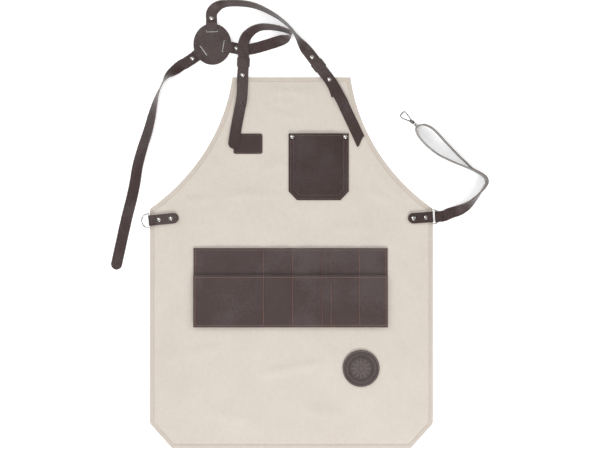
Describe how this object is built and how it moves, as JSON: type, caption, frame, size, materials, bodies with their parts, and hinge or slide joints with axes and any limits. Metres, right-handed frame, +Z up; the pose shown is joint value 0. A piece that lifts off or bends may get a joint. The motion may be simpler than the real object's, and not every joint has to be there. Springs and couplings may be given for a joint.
{
  "type": "bib apron with leather harness",
  "caption": "Canvas bib apron laid flat, with leather pockets, a cross-back leather harness gathered in a slotted disc, and a waist strap ending in a swivel snap hook.",
  "frame": {"origin": "middle of the underside of the whole laid-out object, on the surface it lies on", "axes": "+Y towards the bib's top and the harness, +X towards the waist strap's side, +Z up from the apron's back to its front"},
  "size_m": [0.8594, 1.0182, 0.0324],
  "materials": {
    "canvas": "natural plain-weave canvas, matt",
    "leather": "dark brown oiled leather, satin",
    "nickel": "nickel plated, polished",
    "spring_steel": "plain spring steel"
  },
  "bodies": {
    "apron": {"canvas_panel": "canvas", "bib_pocket": "leather", "bib_pocket_rivet_left": "nickel", "bib_pocket_rivet_right": "nickel", "tool_pocket_back": "leather", "tool_pocket_front": "leather", "leather_patch": "leather", "round_badge": "leather", "left_side_tab": "leather", "left_tab_rivet_inner": "nickel", "left_tab_rivet_outer": "nickel", "right_side_tab": "leather", "right_tab_rivet_inner": "nickel", "right_tab_rivet_outer": "nickel", "right_strap_tail": "leather", "left_strap_tail": "leather", "right_bib_tab": "leather", "left_bib_tab": "leather", "right_lower_stud": "nickel", "left_lower_stud": "nickel"},
    "harness": {"harness_disc": "leather", "right_shoulder_strap": "leather", "left_shoulder_strap": "leather", "back_strap_end": "leather", "right_bib_tab_end": "leather", "left_bib_tab_end": "leather", "right_upper_stud": "nickel", "right_strap_end_rivet": "nickel", "left_strap_end_rivet": "nickel", "back_strap_end_rivet": "nickel"},
    "back_strap": {"back_strap": "leather"},
    "left_keeper": {"left_keeper": "leather"},
    "right_keeper": {"right_keeper": "leather"},
    "left_ring": {"left_d_ring": "nickel"},
    "right_ring": {"right_d_ring": "nickel"},
    "waist_strap": {"waist_strap": "leather"},
    "hook_eye": {"swivel_eye": "nickel"},
    "hook": {"hook_body": "nickel", "gate_pin": "spring_steel", "gate_spring": "spring_steel"},
    "hook_gate": {"hook_gate": "nickel"}
  },
  "joints": [
    {"name": "harness_fold", "type": "hinge", "parent": "apron", "child": "harness", "pos_m": [-0.01646, 0.34672, 0.0062], "axis": [0.9989, -0.0476, 0], "range_deg": [-90, 100]},
    {"name": "back_strap_fold", "type": "hinge", "parent": "harness", "child": "back_strap", "pos_m": [-0.25147, 0.37095, 0.0047], "axis": [-0.5878, 0.809, 0], "range_deg": [-60, 100]},
    {"name": "left_keeper_slide", "type": "slide", "parent": "harness", "child": "left_keeper", "axis": [0.0332, 0.9995, 0], "range_m": [-0.004, 0]},
    {"name": "right_keeper_slide", "type": "slide", "parent": "harness", "child": "right_keeper", "axis": [-0.6129, 0.7902, 0], "range_m": [0, 0.006]},
    {"name": "left_ring_swing", "type": "hinge", "parent": "apron", "child": "left_ring", "pos_m": [-0.33762, 0.00954, 0.0063], "axis": [-0.1028, 0.9947, 0], "range_deg": [-20, 140]},
    {"name": "right_ring_swing", "type": "hinge", "parent": "apron", "child": "right_ring", "pos_m": [0.30152, 0.01753, 0.0063], "axis": [0.068, -0.9977, 0], "range_deg": [-10, 60]},
    {"name": "waist_strap_swing", "type": "hinge", "parent": "right_ring", "child": "waist_strap", "pos_m": [0.32197, 0.01892, 0.0054], "axis": [0, 0, 1], "range_deg": [-2, 2]},
    {"name": "hook_eye_swing", "type": "hinge", "parent": "waist_strap", "child": "hook_eye", "pos_m": [0.27024, 0.22192, 0.0163], "axis": [0, 0, 1], "range_deg": [-15, 15]},
    {"name": "hook_swivel", "type": "hinge", "parent": "hook_eye", "child": "hook", "pos_m": [0.26281, 0.22861, 0.0163], "axis": [-0.6983, 0.6288, -0.342], "continuous": true},
    {"name": "hook_gate_press", "type": "hinge", "parent": "hook", "child": "hook_gate", "pos_m": [0.25647, 0.2366, 0.01264], "axis": [-0.2542, 0.2289, 0.9397], "range_deg": [0, 18], "stiffness_Nm_per_rad": 0.008, "springref_deg": -17.19}
  ]
}
